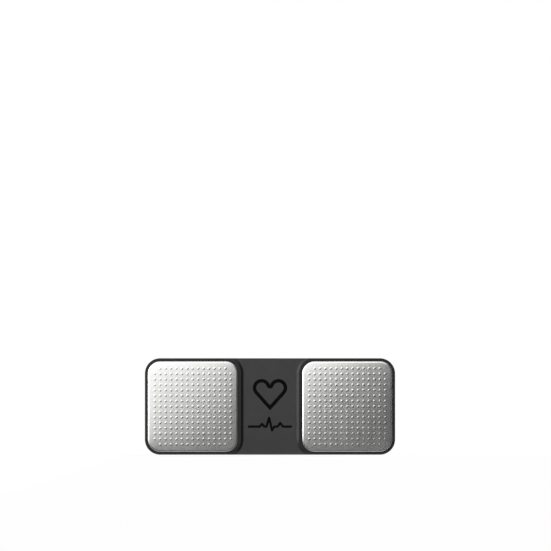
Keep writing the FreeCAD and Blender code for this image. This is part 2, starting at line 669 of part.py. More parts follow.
# ---- Board and contacts ---------------------------------------------------------------------
def main_board():
    inset = SIDE_WALL + BOARD_GAP
    right = CASE_WIDTH / 2 - inset
    left = CELL_U + BITE_R - BOARD_ARM
    wide = right - left
    high = CASE_HEIGHT - 2 * inset
    middle = (left + wide / 2, 0.0)
    board = rounded_prism(wide, high, CASE_CORNER_R - inset, BOARD_W, BOARD_TOP_W, middle)
    holes = [disc(POST_R + POST_CLEARANCE, BOARD_W, BOARD_TOP_W, at) for at in post_places()]
    return board.cut(fuse_all([disc(BITE_R, BOARD_W, BOARD_TOP_W, CELL_AT)] + holes))


def on_board(place, length, width, thickness):
    """A block on the board's rear face."""
    centre = (FRAME_END_U + place[0], place[1])
    return block_at(centre, length, width, BOARD_W - thickness, BOARD_W)


def board_chip(place, length, width, thickness):
    """A moulded part with its edges broken."""
    chip = on_board(place, length, width, thickness)
    return chip.makeChamfer(CHIP_EDGE, edges_at(chip, BOARD_W - thickness))


def chip_rows(rows):
    """Rows of small two-ended parts, side by side."""
    chips = []
    for first, up in rows:
        for index in range(ROW_COUNT):
            place = (first + index * SMALL_CHIP_PITCH, up)
            chips.append(on_board(place, SMALL_CHIP_WIDTH, SMALL_CHIP_LENGTH, SMALL_CHIP_THICKNESS))
    return Part.makeCompound(chips)


def protection_diodes():
    diodes = [on_board(place, DIODE_LENGTH, DIODE_WIDTH, DIODE_THICKNESS) for place in DIODE_PLACES]
    return Part.makeCompound(diodes)


def contact_negative():
    """A flat leaf from the middle of the cell's cap to the board."""
    low = CELL_TOP_W + TOUCH_GAP
    edge = CELL_U + BITE_R
    path = [
        (CELL_U, low),
        (edge - LEAF, low),
        (edge + LEAF, BOARD_TOP_W),
        (edge + NEGATIVE_FOOT, BOARD_TOP_W),
    ]
    return leaf_strip(path, NEGATIVE_WIDTH, 0.0)


def contact_positive():
    """A curved blade that presses on the side of the can, with a foot on the board."""
    inner = CELL_DIAMETER / 2 + TOUCH_GAP
    low = FRAME_TOP_W + TOUCH_GAP
    top = BOARD_TOP_W + LEAF
    blade = ring_sector(inner, inner + LEAF, low, top, POSITIVE_FROM_DEG, POSITIVE_TO_DEG, CELL_AT)
    middle = (POSITIVE_FROM_DEG + POSITIVE_TO_DEG) / 2
    start = middle - POSITIVE_FOOT_HALF_DEG
    end = middle + POSITIVE_FOOT_HALF_DEG
    foot = ring_sector(inner, BITE_R + POSITIVE_FOOT, BOARD_TOP_W, top, start, end, CELL_AT)
    return blade.fuse(foot).removeSplitter()


def sounder_contacts():
    """Two leaves from the board's rear face: one on the brass plate, one on the ceramic."""
    plate_w = REAR_WALL + SOUNDER_THICKNESS + TOUCH_GAP
    plate_u = SOUNDER_U - (SOUNDER_R + CERAMIC_R) / 2
    ceramic_u = SOUNDER_U + CERAMIC_R / 2
    slope = SOUNDER_SPRING_LENGTH - SOUNDER_SPRING_FOOT
    springs = []
    for u, low, side in ((plate_u, plate_w, -1), (ceramic_u, plate_w + CERAMIC_THICKNESS, 1)):
        path = [
            (u - side * SOUNDER_SPRING_TIP / 2, low),
            (u + side * SOUNDER_SPRING_TIP / 2, low),
            (u + side * slope, BOARD_W - LEAF),
            (u + side * SOUNDER_SPRING_LENGTH, BOARD_W - LEAF),
        ]
        springs.append(leaf_strip(sorted(path), SOUNDER_SPRING_WIDTH, 0.0))
    return Part.makeCompound(springs)


def sounder_plate():
    return disc(SOUNDER_R, REAR_WALL, REAR_WALL + SOUNDER_THICKNESS, (SOUNDER_U, 0.0))


def sounder_ceramic():
    low = REAR_WALL + SOUNDER_THICKNESS
    return disc(CERAMIC_R, low, low + CERAMIC_THICKNESS, (SOUNDER_U, 0.0))


def all_pieces():
    return {
        "front_shell": front_shell(),
        "rear_cover": rear_cover(),
        "seam_adhesive": seam_adhesive(),
        "front_symbol": front_symbol(),
        "electrode_left": electrode(-1),
        "electrode_right": electrode(1),
        "electrode_tape_left": electrode_tape(-1),
        "electrode_tape_right": electrode_tape(1),
        "electrode_spring_left": electrode_spring(-1),
        "electrode_spring_right": electrode_spring(1),
        "battery_door": battery_door(),
        "cell_can": cell_can(),
        "cell_cap": cell_cap(),
        "cell_gasket": cell_gasket(),
        "cell_stack": cell_stack(),
        "contact_positive": contact_positive(),
        "contact_negative": contact_negative(),
        "main_board": main_board(),
        "microcontroller": board_chip(CONTROLLER_PLACE, CONTROLLER_SIZE, CONTROLLER_SIZE, CHIP_THICKNESS),
        "heart_signal_amplifier": board_chip(AMPLIFIER_PLACE, AMPLIFIER_SIZE, AMPLIFIER_SIZE, CHIP_THICKNESS),
        "clock_crystal": board_chip(CRYSTAL_PLACE, CRYSTAL_LENGTH, CRYSTAL_WIDTH, CRYSTAL_THICKNESS),
        "power_inductor": board_chip(INDUCTOR_PLACE, INDUCTOR_SIZE, INDUCTOR_SIZE, INDUCTOR_THICKNESS),
        "chip_capacitors": chip_rows(CAPACITOR_ROWS),
        "chip_resistors": chip_rows(RESISTOR_ROWS),
        "protection_diodes": protection_diodes(),
        "sounder_plate": sounder_plate(),
        "sounder_ceramic": sounder_ceramic(),
        "sounder_contacts": sounder_contacts(),
    }


def to_row(shape):
    """Stands a piece up: the front turns to -Y and the lower edge comes to z = 0."""
    placed = shape.copy()
    placed.rotate(Vector(0, 0, 0), Vector(1, 0, 0), 90)
    placed.translate(Vector(0, TOTAL_DEPTH / 2, CASE_HEIGHT / 2))
    return placed


os.makedirs("parts", exist_ok=True)
for name, shape in all_pieces().items():
    to_row(shape).exportStep(f"parts/{name}.step")
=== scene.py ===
"""The looks of the pocket heart monitor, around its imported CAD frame.

Everything is in metres, in the frame of the CAD model: +X to the right, +Z up, and the front
with its two electrodes facing -Y. The monitor stands on its long lower edge, at z = 0.
"""

import math

import bmesh
import bpy
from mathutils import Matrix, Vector

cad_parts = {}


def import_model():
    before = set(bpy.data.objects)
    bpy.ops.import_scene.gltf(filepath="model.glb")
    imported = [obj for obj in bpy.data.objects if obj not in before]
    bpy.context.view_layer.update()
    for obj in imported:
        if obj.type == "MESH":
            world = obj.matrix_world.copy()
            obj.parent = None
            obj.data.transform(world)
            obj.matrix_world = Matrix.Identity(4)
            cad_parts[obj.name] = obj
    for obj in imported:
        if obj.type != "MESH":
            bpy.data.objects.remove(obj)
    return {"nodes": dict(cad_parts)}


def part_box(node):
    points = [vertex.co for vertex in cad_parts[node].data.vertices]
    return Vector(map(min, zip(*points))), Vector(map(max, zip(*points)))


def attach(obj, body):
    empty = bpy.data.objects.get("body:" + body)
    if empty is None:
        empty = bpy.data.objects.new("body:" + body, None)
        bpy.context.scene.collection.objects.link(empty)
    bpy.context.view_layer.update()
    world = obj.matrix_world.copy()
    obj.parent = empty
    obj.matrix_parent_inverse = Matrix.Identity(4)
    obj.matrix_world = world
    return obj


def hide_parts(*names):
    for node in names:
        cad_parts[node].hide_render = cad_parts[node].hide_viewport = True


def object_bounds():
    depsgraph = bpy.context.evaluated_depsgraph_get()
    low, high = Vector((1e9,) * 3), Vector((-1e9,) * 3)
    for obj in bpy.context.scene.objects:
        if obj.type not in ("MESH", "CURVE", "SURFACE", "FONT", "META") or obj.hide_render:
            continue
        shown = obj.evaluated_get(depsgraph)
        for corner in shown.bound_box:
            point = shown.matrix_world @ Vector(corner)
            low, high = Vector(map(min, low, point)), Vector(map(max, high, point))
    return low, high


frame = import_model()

MM = 0.001
CAD_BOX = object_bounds()

# ---- Electrodes: sizes and mesh ----------------------------------------------------------------
DIMPLE_PITCH = 1.78 * MM
DIMPLE_RADIUS = 0.46 * MM  # where the dome has run out into the sheet
DIMPLE_HEIGHT = 0.05 * MM
DIMPLE_MARGIN = 2.2 * MM  # electrode's outline to the middle of a dimple, at the least
DIMPLE_RINGS = 5
DIMPLE_SUPPORT = 1.2  # ring of flat sheet round each dimple, in its radii
DOME_FULLNESS = 2.0  # power of the radius in a dimple's height
DOME_FOOT = 1.4  # power of what that leaves, so that the dome runs out softly
CELL_STEPS = 6  # mesh steps along one side of a dimple's square
CORNER_RADIUS = 4.1 * MM
CORNER_STEPS = 12
SIDE_STEPS = 12
LEAST_RADIUS = 0.2 * MM
ROLL_RADIUS = 0.6 * MM
ROLL_STEPS = 8
ROLL_SUPPORT = 0.05 * MM  # flat kept beside the start of the roll
SHEET = 0.25 * MM
PILLOW = 2.2  # how far the shading leans beside the rolled edge, in degrees
SHOULDER = 2.7  # how far the face itself does, in degrees
SHOULDER_POWER = 8  # more keeps the fall of the face nearer to that edge
SHARP = 35.0  # faces that meet at more degrees than this show an edge

# ---- Colours -----------------------------------------------------------------------------------
SEAT_DARK, SEAT_LIGHT = (0.006, 0.006, 0.0065), (0.010, 0.010, 0.0105)
PANEL_DARK, PANEL_LIGHT = (0.041, 0.041, 0.042), (0.047, 0.047, 0.048)
COVER_DARK, COVER_LIGHT = (0.024, 0.024, 0.025), (0.036, 0.036, 0.037)
COVER_RUBBED = (0.095, 0.095, 0.096)
STEEL_DARK, STEEL_LIGHT = (0.685, 0.685, 0.68), (0.715, 0.715, 0.705)
INLAY_DARK, INLAY_LIGHT = (0.0014, 0.0014, 0.0015), (0.003, 0.003, 0.0031)
GOLD, GOLD_WORN = (0.78, 0.60, 0.30), (0.70, 0.50, 0.24)
BRASS, BRASS_WORN = (0.80, 0.60, 0.28), (0.72, 0.50, 0.22)
NICKEL, NICKEL_WORN = (0.66, 0.65, 0.62), (0.60, 0.59, 0.56)
CELL_WORN = (0.58, 0.57, 0.54)
TIN_DARK, TIN_LIGHT = (0.66, 0.65, 0.63), (0.74, 0.73, 0.70)
MASK_DARK, MASK_LIGHT = (0.010, 0.066, 0.030), (0.016, 0.090, 0.040)
MASK_OVER_TRACK = (0.030, 0.150, 0.060)
PAD_TIN = (0.62, 0.60, 0.56)
TAN_DARK, TAN_LIGHT = (0.42, 0.28, 0.15), (0.50, 0.34, 0.19)
CARBON_DARK, CARBON_LIGHT = (0.015, 0.015, 0.016), (0.03, 0.03, 0.03)
BLACK = (0.0, 0.0, 0.0)
FLOOR_COLOUR = (0.80, 0.80, 0.80, 1.0)
WHITE = (1.0, 1.0, 1.0, 1.0)

# ---- Patterns ----------------------------------------------------------------------------------
MIX_FACTOR, MIX_COLOURS, MIX_RESULT = 0, (6, 7), 2  # places of a colour mix's sockets
MOST = (0.3, 0.7)  # most of a noise lies between these
PLASTIC_IOR = 1.46
GLASSY_IOR = 1.5
PANEL_FROM, PANEL_FULL = 0.03 * MM, 0.02 * MM  # in front of the panel: its finish begins, and is full
FLAT_TO_Y = (1.0, 0.0, 1.0)  # times a place, drops how deep it lies
UPRIGHT = (1.0, 1.0, 0.35)  # times a place, draws a pattern out along Z
BEVEL_SAMPLES = 6
BEVEL_EDGE, BEVEL_FLAT = 0.86, 0.997  # cosine of the turn that a bevel gives there
WORN_GLOSS = 0.15  # how much less rough a worn edge is
RUB_DULLNESS = 0.15  # how much rougher a rub mark on metal is
SCRATCH_STRETCH = (0.05, 1.0, 1.0)
SCRATCH_LINE = (0.67, 0.70)  # level of the noise where a scratch starts, and where it is full
SCRATCH_PATCH = 6 * MM  # the scratches lie in patches of about this size
SCRATCH_PATCH_STRETCH = (0.7, 1.0, 1.0)
SCRATCH_PATCH_EDGE = (0.52, 0.6)
TRACKS = ((0, 4.6 * MM, 0.9 * MM), (90, 3.4 * MM, 1.3 * MM))  # turn, length and how far apart
TRACK_WIDTH = 0.07 * MM
TRACK_OFFSET = 0.37
VIA_APART = 1.9 * MM
VIA_EDGE = (0.10, 0.12)  # of VIA_APART, from the via's middle
BOARD_WEAVE = 0.45 * MM
CHIP_ROWS_APART = 1.5 * MM  # rows of small parts lie further apart than this
HEIGHT_DIGITS = 5  # digits of a height in metres that tell two heights apart
CHIP_CAP = (0.50, 0.54)  # of half a small part's length: where its tinned end begins

# ---- Camera and stage --------------------------------------------------------------------------
FRAME_WIDTH = 180.7 * MM  # what the picture takes in at the monitor
ABOVE_CENTRE = 42.95 * MM  # middle of the picture above the middle of the monitor
RIGHT_OF_CENTRE = 1.80 * MM
CAMERA_DISTANCE = 2.0
CAMERA_REACH = 20.0
SENSOR_WIDTH = 36.0
FLOOR_SIZE = 8.0
FLOOR_ROUGHNESS = 0.9
FLOOR_WHITE_SHARE = 0.8  # of plain white in what the camera, metal and glass see of the floor
FLOOR_WHITE = 1.13
WORLD_LEVEL = 0.15
KEY_FROM = (-0.958, -0.50, 0.075)
KEY_SPREAD = 54.0
KEY_STRENGTH = 3.0
FRONT_FROM = (-0.25, -0.85, 0.45)
FRONT_SPREAD = 50.0
FRONT_STRENGTH = 0.6
BACK_FROM = (0.55, 0.75, 0.40)
BACK_SPREAD = 40.0
BACK_STRENGTH = 1.2
FLAG_NEAR = (62 * MM, -0.005)  # to the lower right of the middle, and in front of it
FLAG_FAR = (-30 * MM, -0.27)
FLAG_REACH = 1.0
FLAG_TONE = 0.10
FLOOR_FLAG_NEAR = -1.8 * MM  # in front of the middle
FLOOR_FLAG_SPLIT = -102 * MM  # where the lighter card ends and the darker one begins
FLOOR_FLAG_FAR = -1.4
FLOOR_FLAG_LEFT = 47.4 * MM  # how far both reach to the left of the middle
FLOOR_FLAG_REACH = 0.8  # half their width
FLOOR_FLAG_TONE = 0.05
FLOOR_CARD_TONE = 0.28
FLAG_ABOVE_FLOOR = 0.5 * MM


# ---- Materials ---------------------------------------------------------------------------------
class Finish:
    """A procedural material under construction, patterned in the piece's own coordinates."""

    def __init__(self, name, **sockets):
        self.material = bpy.data.materials.new(name)
        self.material.use_nodes = True
        self.nodes = self.material.node_tree.nodes
        self.links = self.material.node_tree.links
        self.shader = self.nodes["Principled BSDF"]
        for socket, value in sockets.items():
            self.shader.inputs[socket.replace("_", " ")].default_value = value
        self.place = self.add("ShaderNodeTexCoord").outputs["Object"]
        self.normal = None

    def add(self, kind, **settings):
        """A new node of this kind, with these settings."""
        node = self.nodes.new(kind)
        for setting, value in settings.items():
            setattr(node, setting, value)
        return node

    def put(self, value, socket):
        """Sets a socket, or links another node's output to it."""
        if isinstance(value, bpy.types.NodeSocket):
            self.links.new(value, socket)
        else:
            socket.default_value = value

    def stretched(self, along, vector=None):
        """The piece's coordinates, or another vector, times a factor along each axis."""
        node = self.add("ShaderNodeVectorMath", operation="MULTIPLY")
        self.put(vector or self.place, node.inputs[0])
        node.inputs[1].default_value = along
        return node.outputs["Vector"]

    def noise(self, size, detail=3.0, vector=None, roughness=0.5):
        """Cloudy noise with features of about the given size, in metres."""
        node = self.add("ShaderNodeTexNoise")
        self.put(vector or self.place, node.inputs["Vector"])
        node.inputs["Scale"].default_value = 1 / size
        node.inputs["Detail"].default_value = detail
        node.inputs["Roughness"].default_value = roughness
        return node.outputs["Fac"]

    def cells(self, size, vector=None, output="Distance"):
        """Round cells of about the given size, in metres."""
        node = self.add("ShaderNodeTexVoronoi")
        self.put(vector or self.place, node.inputs["Vector"])
        node.inputs["Scale"].default_value = 1 / size
        return node.outputs[output]

    def span(self, source, low, high, to_low=0.0, to_high=1.0):
        """Maps low..high of a source to to_low..to_high, and holds it there outside."""
        node = self.add("ShaderNodeMapRange", clamp=True)
        self.put(source, node.inputs["Value"])
        ends = {"From Min": low, "From Max": high, "To Min": to_low, "To Max": to_high}
        for socket, value in ends.items():
            node.inputs[socket].default_value = value
        return node.outputs["Result"]

    def calc(self, operation, first, second=0.0):
        """Arithmetic on two numbers or outputs."""
        node = self.add("ShaderNodeMath", operation=operation)
        self.put(first, node.inputs[0])
        self.put(second, node.inputs[1])
        return node.outputs["Value"]

    def axis(self, letter):
        """One of the piece's coordinates."""
        node = self.add("ShaderNodeSeparateXYZ")
        self.links.new(self.place, node.inputs["Vector"])
        return node.outputs[letter]

    def turned(self, axis, degrees, vector=None):
        """The piece's coordinates, or another vector, turned about an axis."""
        node = self.add("ShaderNodeVectorRotate", rotation_type=axis + "_AXIS")
        self.links.new(vector or self.place, node.inputs["Vector"])
        node.inputs["Angle"].default_value = math.radians(degrees)
        return node.outputs["Vector"]

    def rings(self, centre, size):
        """Cloudy rings of about the given width, round an axis along Y through centre."""
        offset = self.add("ShaderNodeVectorMath", operation="SUBTRACT")
        self.links.new(self.place, offset.inputs[0])
        offset.inputs[1].default_value = centre
        radius = self.add("ShaderNodeVectorMath", operation="LENGTH")
        self.links.new(self.stretched(FLAT_TO_Y, offset.outputs["Vector"]), radius.inputs[0])
        node = self.add("ShaderNodeTexNoise", noise_dimensions="1D")
        self.links.new(radius.outputs["Value"], node.inputs["W"])
        node.inputs["Scale"].default_value = 1 / size
        node.inputs["Detail"].default_value = 4.0
        return node.outputs["Fac"]

    def edges(self, width):
        """1 on the shape's edges and 0 on its flats, by how far a bevel that wide would turn it."""
        bevel = self.add("ShaderNodeBevel", samples=BEVEL_SAMPLES)
        bevel.inputs["Radius"].default_value = width
        alike = self.add("ShaderNodeVectorMath", operation="DOT_PRODUCT")
        self.links.new(bevel.outputs["Normal"], alike.inputs[0])
        self.links.new(self.add("ShaderNodeNewGeometry").outputs["Normal"], alike.inputs[1])
        return self.span(alike.outputs["Value"], BEVEL_EDGE, BEVEL_FLAT, 1.0, 0.0)

    def hairlines(self, size, turn):
        """1 on sparse fine scratches that run at this angle, in degrees, to the long side."""
        place = self.turned("Y", turn)
        lines = self.noise(size, detail=2, vector=self.stretched(SCRATCH_STRETCH, place))
        patches = self.noise(SCRATCH_PATCH, vector=self.stretched(SCRATCH_PATCH_STRETCH, place))
        patch = self.span(patches, *SCRATCH_PATCH_EDGE)
        return self.calc("MULTIPLY", self.span(lines, *SCRATCH_LINE), patch)

    def scratches(self, size, turn, other_turn):
        """1 on two sets of hairlines that cross each other."""
        return self.calc("MAXIMUM", self.hairlines(size, turn), self.hairlines(size, other_turn))

    def mix(self, factor, first, second):
        """The first colour where factor is 0, and the second where it is 1."""
        node = self.add("ShaderNodeMix", data_type="RGBA")
        self.put(factor, node.inputs[MIX_FACTOR])
        for place, colour in zip(MIX_COLOURS, (first, second)):
            self.put((*colour, 1.0) if isinstance(colour, tuple) else colour, node.inputs[place])
        return node.outputs[MIX_RESULT]

    def bump(self, height, depth):
        """Adds relief of the given depth, in metres, on top of what is there."""
        node = self.add("ShaderNodeBump")
        node.inputs["Strength"].default_value = 1.0
        node.inputs["Distance"].default_value = depth
        self.put(height, node.inputs["Height"])
        if self.normal:
            self.links.new(self.normal, node.inputs["Normal"])
        self.normal = node.outputs["Normal"]

    def colour(self, value):
        self.put(value, self.shader.inputs["Base Color"])

    def roughness(self, value):
        self.put(value, self.shader.inputs["Roughness"])

    def done(self):
        """The material, with all its relief in place."""
        if self.normal:
            self.links.new(self.normal, self.shader.inputs["Normal"])
        return self.material


def cover_plastic(grain=0.34 * MM, rough=0.5, wear=0.4 * MM, scratch=0.4 * MM, scratch_tone=0.22):
    """Satin black plastic with a spark-eroded grain, rubbed smoother in places and on its edges."""
    finish = Finish("cover_grain", IOR=PLASTIC_IOR)
    pits = finish.cells(grain)
    fine = finish.noise(0.5 * grain, detail=2)
    cloud = finish.noise(10 * MM, detail=6, roughness=0.6)
    patches = finish.span(finish.noise(1.2 * MM, detail=5), 0.3, 0.6)
    worn = finish.calc("MULTIPLY", finish.edges(wear), patches)
    scratched = finish.calc("MULTIPLY", finish.scratches(scratch, 17, -58), scratch_tone)
    body = finish.mix(finish.span(cloud, 0.35, 0.65), COVER_DARK, COVER_LIGHT)
    body = finish.mix(finish.span(pits, 0.1, 0.6, 0.0, 0.25), body, BLACK)
    finish.colour(finish.mix(finish.calc("MAXIMUM", worn, scratched), body, COVER_RUBBED))
    along = finish.stretched((0.6, 1.0, 1.0))
    smears = finish.noise(9 * MM, detail=7, vector=along, roughness=0.62)
    handled = finish.span(smears, 0.42, 0.60, rough - 0.12, rough + 0.05)
    grained = finish.calc("ADD", handled, finish.span(fine, *MOST, -0.05, 0.05))
    finish.roughness(finish.calc("SUBTRACT", grained, finish.calc("MULTIPLY", worn, WORN_GLOSS)))
    finish.bump(fine, depth=0.010 * MM)
    finish.bump(pits, depth=0.020 * MM)
    return finish.done()


def shell_plastic(panel_y, seat_rough=0.48, panel_rough=0.62):
    """The front shell: smooth black seats, and a lighter, grained panel behind panel_y."""
    finish = Finish("shell_two_finishes", IOR=PLASTIC_IOR, Specular_IOR_Level=0.46)
    cloud = finish.noise(8 * MM, detail=4)
    fine = finish.noise(0.10 * MM, detail=2)
    panel = finish.span(finish.axis("Y"), panel_y - PANEL_FROM, panel_y - PANEL_FULL)
    tone = finish.span(cloud, *MOST)
    seat_colour = finish.mix(tone, SEAT_DARK, SEAT_LIGHT)
    finish.colour(finish.mix(panel, seat_colour, finish.mix(tone, PANEL_DARK, PANEL_LIGHT)))
    handled = finish.span(finish.noise(5 * MM, detail=5), 0.35, 0.7, -0.04, 0.04)
    smoother = finish.calc("ADD", finish.span(panel, 0.0, 1.0, seat_rough, panel_rough), handled)
    finish.roughness(finish.calc("ADD", smoother, finish.span(fine, *MOST, -0.04, 0.04)))
    grain = finish.calc("MULTIPLY", fine, finish.span(panel, 0.0, 1.0, 0.35, 1.0))
    finish.bump(grain, depth=0.006 * MM)
    return finish.done()


def electrode_steel(rough=0.305):
    """Bead-blasted stainless steel, with faint upright smears."""
    finish = Finish("electrode_steel_finish", Metallic=1.0)
    cloud = finish.noise(6 * MM, detail=5)
    finish.colour(finish.mix(finish.span(cloud, *MOST), STEEL_DARK, STEEL_LIGHT))
    smears = finish.noise(3 * MM, detail=6, vector=finish.stretched(UPRIGHT))
    blast = finish.noise(0.07 * MM, detail=2)
    smeared = finish.span(smears, 0.3, 0.72, rough - 0.02, rough + 0.02)
    finish.roughness(finish.calc("ADD", smeared, finish.span(blast, *MOST, -0.03, 0.03)))
    finish.bump(blast, depth=0.0025 * MM)
    return finish.done()


def gloss_inlay():
    """Gloss black, with faint rub marks."""
    finish = Finish("gloss_inlay", Specular_IOR_Level=0.05)
    rubs = finish.noise(1.5 * MM, detail=6, vector=finish.stretched((1.0, 1.0, 0.15)))
    finish.colour(finish.mix(finish.span(rubs, *MOST), INLAY_DARK, INLAY_LIGHT))
    finish.roughness(finish.span(rubs, 0.3, 0.75, 0.3, 0.42))
    finish.bump(finish.noise(0.3 * MM), depth=0.001 * MM)
    return finish.done()


def plated_metal(name, colour, worn, rough):
    """Plated sheet metal with fine drawn lines."""
    finish = Finish(name, Metallic=1.0)
    drawn = finish.noise(0.2 * MM, detail=4, vector=finish.stretched((0.08, 1.0, 1.0)))
    finish.colour(finish.mix(finish.span(finish.noise(2 * MM, detail=4), 0.35, 0.7), colour, worn))
    finish.roughness(finish.span(drawn, *MOST, rough - 0.06, rough + 0.08))
    finish.bump(drawn, depth=0.002 * MM)
    return finish.done()


def spun_metal(name, colour, worn, centre, rough=0.24):
    """Nickel-plated steel with fine rings round its middle, and a few rub marks."""
    finish = Finish(name, Metallic=1.0)
    rings = finish.rings(centre, 0.35 * MM)
    smudge = finish.noise(3.5 * MM, detail=6, roughness=0.6)
    rubs = finish.scratches(0.3 * MM, 35, -20)
    finish.colour(finish.mix(finish.span(smudge, *MOST), colour, worn))
    ringed = finish.span(rings, *MOST, rough - 0.05, rough + 0.05)
    smudged = finish.calc("ADD", ringed, finish.span(smudge, *MOST, 0.0, 0.10))
    finish.roughness(finish.calc("ADD", smudged, finish.calc("MULTIPLY", rubs, RUB_DULLNESS)))
    finish.bump(rings, depth=0.0015 * MM)
    finish.bump(finish.noise(0.08 * MM), depth=0.0015 * MM)
    return finish.done()


def solder_mask():
    """Green mask over copper tracks, which show as raised lighter lines, with tinned via pads."""
    finish = Finish("solder_mask", IOR=GLASSY_IOR)
    upright = finish.turned("X", 90)
    tracks = []
    for turn, length, apart in TRACKS:
        brick = finish.add("ShaderNodeTexBrick", offset=TRACK_OFFSET)
        finish.links.new(finish.turned("Z", turn, upright), brick.inputs["Vector"])
        brick.inputs["Scale"].default_value = 1.0
        brick.inputs["Mortar Size"].default_value = TRACK_WIDTH
        brick.inputs["Mortar Smooth"].default_value = 0.2
        brick.inputs["Brick Width"].default_value = length
        brick.inputs["Row Height"].default_value = apart
        low = float(turn == 0)  # each of the two directions has the places that the other leaves
        patch = finish.span(finish.noise(3 * MM, detail=1), 0.48, 0.50, low, 1.0 - low)
        tracks.append(finish.calc("MULTIPLY", brick.outputs["Fac"], patch))
    track = finish.calc("MAXIMUM", *tracks)
    vias = finish.cells(VIA_APART, vector=finish.stretched(FLAT_TO_Y))
    pad = finish.span(vias, *VIA_EDGE, 1.0, 0.0)
    mask = finish.mix(finish.span(finish.cells(BOARD_WEAVE), 0.2, 0.8), MASK_DARK, MASK_LIGHT)
    covered = finish.mix(track, mask, MASK_OVER_TRACK)
    finish.colour(finish.mix(pad, covered, PAD_TIN))
    finish.put(pad, finish.shader.inputs["Metallic"])
    finish.roughness(finish.span(finish.noise(1.5 * MM), *MOST, 0.26, 0.36))
    finish.bump(finish.calc("MAXIMUM", track, pad), depth=0.02 * MM)
    return finish.done()


def rows_of(node):
    """The middle and half the height of each row in which a node's small parts stand."""
    heights = sorted({round(v.co.z, HEIGHT_DIGITS) for v in frame["nodes"][node].data.vertices})
    rows = [[heights[0]]]
    for height in heights[1:]:
        if height - rows[-1][0] > CHIP_ROWS_APART:
            rows.append([])
        rows[-1].append(height)
    return [((row[0] + row[-1]) / 2, (row[-1] - row[0]) / 2) for row in rows]


def chip_mass(name, node, dark, light):
    """Fired ceramic with a tinned cap on the upper and lower end of each small part."""
    finish = Finish(name, IOR=GLASSY_IOR)
    height = finish.axis("Z")
    apart = None
    for middle, half in rows_of(node):
        away = finish.calc("ABSOLUTE", finish.calc("SUBTRACT", height, middle))
        apart = away if apart is None else finish.calc("MINIMUM", apart, away)
    start, full = CHIP_CAP
    cap = finish.span(apart, start * half, full * half)
    grains = finish.span(finish.cells(0.05 * MM, output="Color"), 0.2, 0.8)
    tin = finish.mix(grains, TIN_DARK, TIN_LIGHT)
    finish.colour(finish.mix(cap, finish.mix(grains, dark, light), tin))
    finish.put(cap, finish.shader.inputs["Metallic"])
    finish.roughness(finish.span(finish.noise(0.2 * MM, detail=4), *MOST, 0.32, 0.48))
    finish.bump(finish.noise(0.06 * MM), depth=0.008 * MM)
    return finish.done()


def speckled(name, dark, light, grain, rough, depth):
    """A fired, pressed or moulded mass: fine grains of two tones."""
    finish = Finish(name, IOR=GLASSY_IOR)
    grains = finish.cells(grain, output="Color")
    finish.colour(finish.mix(finish.span(grains, 0.2, 0.8), dark, light))
    tone = finish.noise(4 * grain, detail=4)
    finish.roughness(finish.span(tone, *MOST, rough - 0.08, rough + 0.08))
    finish.bump(finish.noise(grain, detail=3), depth)
    return finish.done()


def dress(material, *nodes):
    """Gives CAD nodes another material, in their own slots."""
    for node in nodes:
        for material_slot in frame["nodes"][node].material_slots:
            material_slot.material = material


def dress_nodes():
    """The looks of the pieces that keep the shape of their solids."""
    dress(shell_plastic(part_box("front_symbol")[0].y), "front_shell")
    dress(cover_plastic(), "rear_cover", "battery_door")
    dress(gloss_inlay(), "front_symbol")
    dress(
        plated_metal("contact_plating", GOLD, GOLD_WORN, rough=0.28),
        "electrode_spring_left",
        "electrode_spring_right",
        "contact_positive",
        "contact_negative",
        "sounder_contacts",
    )
    dress(plated_metal("nickel_plating", NICKEL, NICKEL_WORN, rough=0.26), "clock_crystal")
    dress(plated_metal("rolled_brass", BRASS, BRASS_WORN, rough=0.3), "sounder_plate")
    middle_of_cell = (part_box("cell_can")[0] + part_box("cell_can")[1]) / 2
    dress(spun_metal("spun_nickel", NICKEL, CELL_WORN, middle_of_cell), "cell_can", "cell_cap")
    dress(solder_mask(), "main_board")
    dress(chip_mass("capacitor_mass", "chip_capacitors", TAN_DARK, TAN_LIGHT), "chip_capacitors")
    dress(chip_mass("resistor_mass", "chip_resistors", CARBON_DARK, CARBON_LIGHT), "chip_resistors")
    tapes = "electrode_tape_left electrode_tape_right"
    chips = "microcontroller heart_signal_amplifier protection_diodes"
    for nodes, name, dark, light, grain, depth, rough in (
        (tapes, "foam_pores", (0.015, 0.015, 0.016), (0.035, 0.035, 0.036), 0.12, 0.03, 0.85),
        (chips, "chip_epoxy_mass", (0.018, 0.018, 0.019), (0.032, 0.032, 0.033), 0.05, 0.01, 0.55),
        ("seam_adhesive", "seam_bead", (0.05, 0.05, 0.05), (0.09, 0.09, 0.09), 0.20, 0.01, 0.60),
        ("power_inductor", "ferrite_mass", (0.05, 0.05, 0.052), (0.12, 0.12, 0.12), 0.06, 0.01, 0.60),
        ("sounder_ceramic", "silvered_disc", (0.62, 0.61, 0.58), (0.74, 0.73, 0.70), 0.08, 0.01, 0.40),
        ("cell_gasket", "nylon_ring", (0.30, 0.29, 0.27), (0.38, 0.37, 0.34), 0.15, 0.01, 0.45),
        ("cell_stack", "pressed_pellet", (0.04, 0.04, 0.04), (0.10, 0.10, 0.10), 0.08, 0.01, 0.80),
    ):
        dress(speckled(name, dark, light, grain * MM, rough, depth * MM), *nodes.split())


